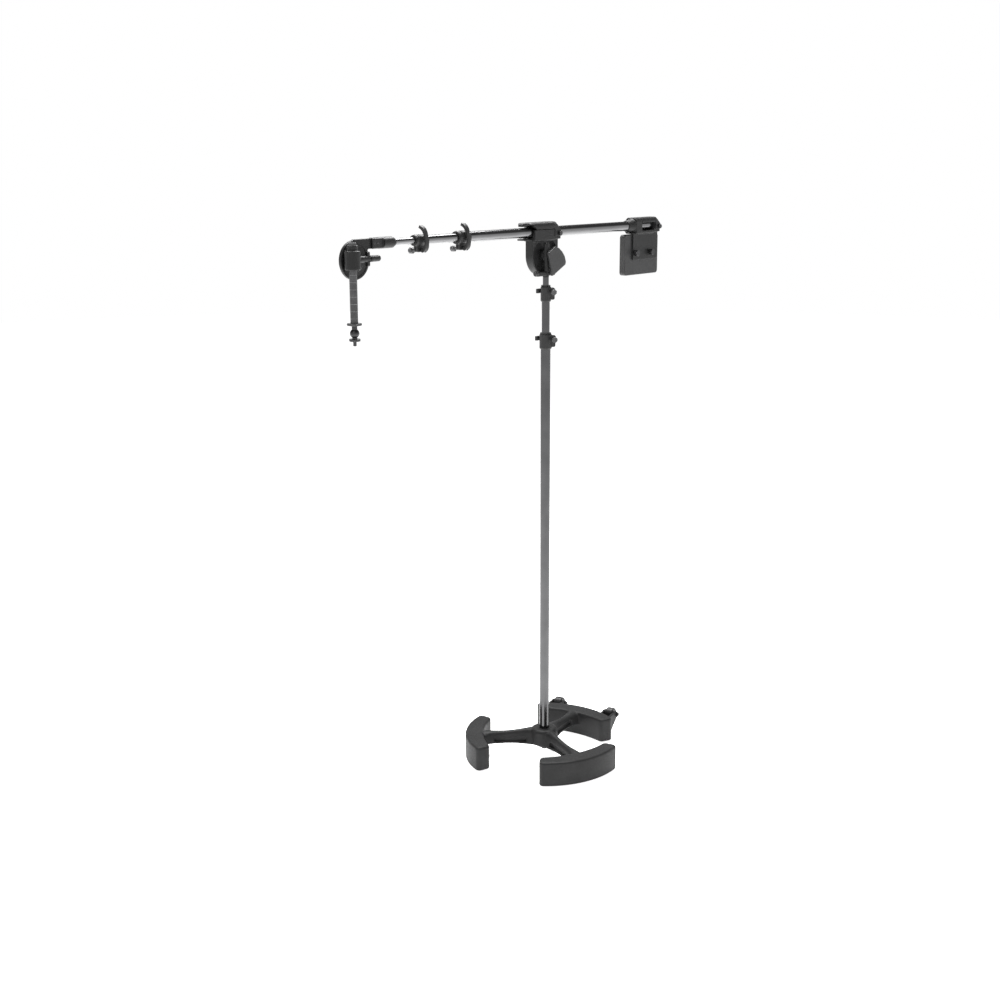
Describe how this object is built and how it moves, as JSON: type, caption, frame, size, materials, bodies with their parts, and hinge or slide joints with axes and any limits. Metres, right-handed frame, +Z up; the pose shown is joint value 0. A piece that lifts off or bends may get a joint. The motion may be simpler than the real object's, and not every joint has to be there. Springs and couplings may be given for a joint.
{
  "type": "counterweighted overhead boom stand",
  "caption": "Black heavy-base studio stand with a telescoping column, clutch head, telescoping boom, drop tube for a microphone and a plate counterweight",
  "frame": {"origin": "on the column's axis at the floor", "axes": "+Z up along the column; +X along the level boom towards the counterweight, so the drop tube hangs at -X; +Y to the side of the column on which the boom is carried"},
  "size_m": [1.485, 0.5273, 1.78],
  "materials": {
    "cast_iron_black": "textured black powder coat over rough cast iron",
    "rubber": "matte black rubber",
    "wheel_plastic": "matte black moulded nylon",
    "zinc_steel": "dark zinc plated steel",
    "clamp_plastic": "satin black glass-filled nylon",
    "bush_plastic": "matte black acetal",
    "clamp_bolt_steel": "bright zinc plated steel",
    "lever_plastic": "satin black glass-filled nylon",
    "tube_anodised": "satin black anodised aluminium",
    "head_paint": "satin black powder coat on die-cast aluminium",
    "paddle_plastic": "satin black moulded nylon",
    "friction_pad": "pressed friction lining",
    "weight_iron": "black powder coat on an iron plate",
    "drop_tube_finish": "satin black anodised aluminium with index grooves"
  },
  "bodies": {
    "base": {"base_casting": "cast_iron_black", "rubber_pads": "rubber", "column_bolt": "zinc_steel", "column_plug": "bush_plastic", "lower_tube": "tube_anodised", "wheel_axles": "zinc_steel", "column_lower_clamp": "clamp_plastic", "column_lower_bush": "bush_plastic", "column_lower_clamp_bolt": "clamp_bolt_steel"},
    "wheel_left": {"wheel_left": "wheel_plastic"},
    "wheel_right": {"wheel_right": "wheel_plastic"},
    "column_lower_lever": {"column_lower_lever": "lever_plastic"},
    "mid_column": {"mid_tube": "tube_anodised", "mid_tube_glide": "bush_plastic", "column_upper_clamp": "clamp_plastic", "column_upper_bush": "bush_plastic", "column_upper_clamp_bolt": "clamp_bolt_steel"},
    "column_upper_lever": {"column_upper_lever": "lever_plastic"},
    "inner_column": {"inner_tube": "tube_anodised", "inner_tube_glide": "bush_plastic"},
    "head": {"head_post": "head_paint", "pivot_bolt": "zinc_steel", "tilt_stop_screw": "zinc_steel"},
    "clutch_lever": {"clutch_lever": "paddle_plastic", "brake_screw": "zinc_steel", "brake_pad": "friction_pad"},
    "carrier": {"boom_carrier": "head_paint", "boom_shoe": "friction_pad", "boom_latch_pins": "zinc_steel", "friction_disc": "friction_pad"},
    "boom_latch": {"boom_latch": "head_paint"},
    "boom_outer": {"boom_outer_tube": "tube_anodised", "boom_end_plug": "bush_plastic", "boom_outer_clamp": "clamp_plastic", "boom_outer_bush": "bush_plastic", "boom_outer_clamp_bolt": "clamp_bolt_steel"},
    "boom_outer_lever": {"boom_outer_lever": "lever_plastic"},
    "boom_mid": {"boom_mid_tube": "tube_anodised", "boom_mid_glide": "bush_plastic", "boom_inner_clamp": "clamp_plastic", "boom_inner_bush": "bush_plastic", "boom_inner_clamp_bolt": "clamp_bolt_steel"},
    "boom_inner_lever": {"boom_inner_lever": "lever_plastic"},
    "boom_thin": {"boom_thin_tube": "tube_anodised", "boom_thin_glide": "bush_plastic", "end_adaptor": "head_paint", "elbow_disc": "head_paint", "adaptor_screws": "zinc_steel"},
    "mic_clamp": {"mic_tube_clamp": "head_paint", "mic_pivot_bolt": "zinc_steel"},
    "mic_clamp_screw": {"mic_clamp_screw": "head_paint"},
    "drop_tube": {"drop_tube": "drop_tube_finish", "drop_flange": "drop_tube_finish"},
    "ball_stud": {"ball_stud": "zinc_steel"},
    "counterweight": {"counterweight_clamp": "head_paint", "counterweight_shoe": "friction_pad", "counterweight_pins": "zinc_steel", "weight_plate": "weight_iron", "weight_knobs": "zinc_steel"},
    "counterweight_latch": {"counterweight_latch": "head_paint"}
  },
  "joints": [
    {"name": "wheel_left_spin", "type": "hinge", "parent": "base", "child": "wheel_left", "pos_m": [0.27412, 0.14929, 0.066], "axis": [-0.165, 0.9863, 0], "continuous": true},
    {"name": "wheel_right_spin", "type": "hinge", "parent": "base", "child": "wheel_right", "pos_m": [0.30779, -0.05191, 0.066], "axis": [-0.165, 0.9863, 0], "continuous": true},
    {"name": "column_lower_lever_turn", "type": "hinge", "parent": "base", "child": "column_lower_lever", "pos_m": [0.02777, -0.0109, 1.4075], "axis": [0, 0, -1], "range_deg": [0, 80]},
    {"name": "mid_column_slide", "type": "slide", "parent": "base", "child": "mid_column", "axis": [0, 0, 1], "range_m": [-0.09, 0.6]},
    {"name": "column_upper_lever_turn", "type": "hinge", "parent": "mid_column", "child": "column_upper_lever", "pos_m": [0.02576, -0.00845, 1.556], "axis": [0, 0, -1], "range_deg": [0, 80]},
    {"name": "inner_column_slide", "type": "slide", "parent": "mid_column", "child": "inner_column", "axis": [0, 0, 1], "range_m": [-0.018, 0.6]},
    {"name": "head_swivel", "type": "hinge", "parent": "inner_column", "child": "head", "pos_m": [0, 0, 1.6], "axis": [0, 0, 1], "continuous": true},
    {"name": "clutch_lever_turn", "type": "hinge", "parent": "head", "child": "clutch_lever", "pos_m": [0.03, -0.018, 1.655], "axis": [0, 1, 0], "range_deg": [-25, 60]},
    {"name": "boom_tilt", "type": "hinge", "parent": "head", "child": "carrier", "pos_m": [0, 0.0165, 1.668], "axis": [0, 1, 0], "range_deg": [-45, 45]},
    {"name": "boom_latch_lift", "type": "hinge", "parent": "carrier", "child": "boom_latch", "pos_m": [0.062, 0.018, 1.733], "axis": [0, 1, 0], "range_deg": [0, 60]},
    {"name": "boom_slide", "type": "slide", "parent": "carrier", "child": "boom_outer", "axis": [1, 0, 0], "range_m": [-0.06, 0.2]},
    {"name": "boom_outer_lever_turn", "type": "hinge", "parent": "boom_outer", "child": "boom_outer_lever", "pos_m": [-0.371, 0.0035, 1.70693], "axis": [1, 0, 0], "range_deg": [0, 80]},
    {"name": "boom_mid_slide", "type": "slide", "parent": "boom_outer", "child": "boom_mid", "axis": [1, 0, 0], "range_m": [-0.45, 0.11]},
    {"name": "boom_inner_lever_turn", "type": "hinge", "parent": "boom_mid", "child": "boom_inner_lever", "pos_m": [-0.548, 0.0035, 1.7101], "axis": [1, 0, 0], "range_deg": [0, 80]},
    {"name": "boom_thin_slide", "type": "slide", "parent": "boom_mid", "child": "boom_thin", "axis": [1, 0, 0], "range_m": [-0.45, 0.07]},
    {"name": "mic_tilt", "type": "hinge", "parent": "boom_thin", "child": "mic_clamp", "pos_m": [-0.8065, 0.013, 1.6965], "axis": [0, 1, 0], "range_deg": [0, 90]},
    {"name": "mic_clamp_screw_turn", "type": "hinge", "parent": "mic_clamp", "child": "mic_clamp_screw", "pos_m": [-0.78, -0.0083, 1.6995], "axis": [1, 0, 0], "range_deg": [0, 360]},
    {"name": "drop_tube_slide", "type": "slide", "parent": "mic_clamp", "child": "drop_tube", "axis": [0, 0, 1], "range_m": [-0.04, 0.12]},
    {"name": "ball_stud_swivel", "type": "hinge", "parent": "drop_tube", "child": "ball_stud", "pos_m": [-0.837, -0.0083, 1.5035], "axis": [0, 0, 1], "continuous": true},
    {"name": "counterweight_slide", "type": "slide", "parent": "boom_outer", "child": "counterweight", "axis": [1, 0, 0], "range_m": [-0.1, 0]},
    {"name": "counterweight_latch_lift", "type": "hinge", "parent": "counterweight", "child": "counterweight_latch", "pos_m": [0.612, 0.018, 1.733], "axis": [0, 1, 0], "range_deg": [0, 60]}
  ]
}
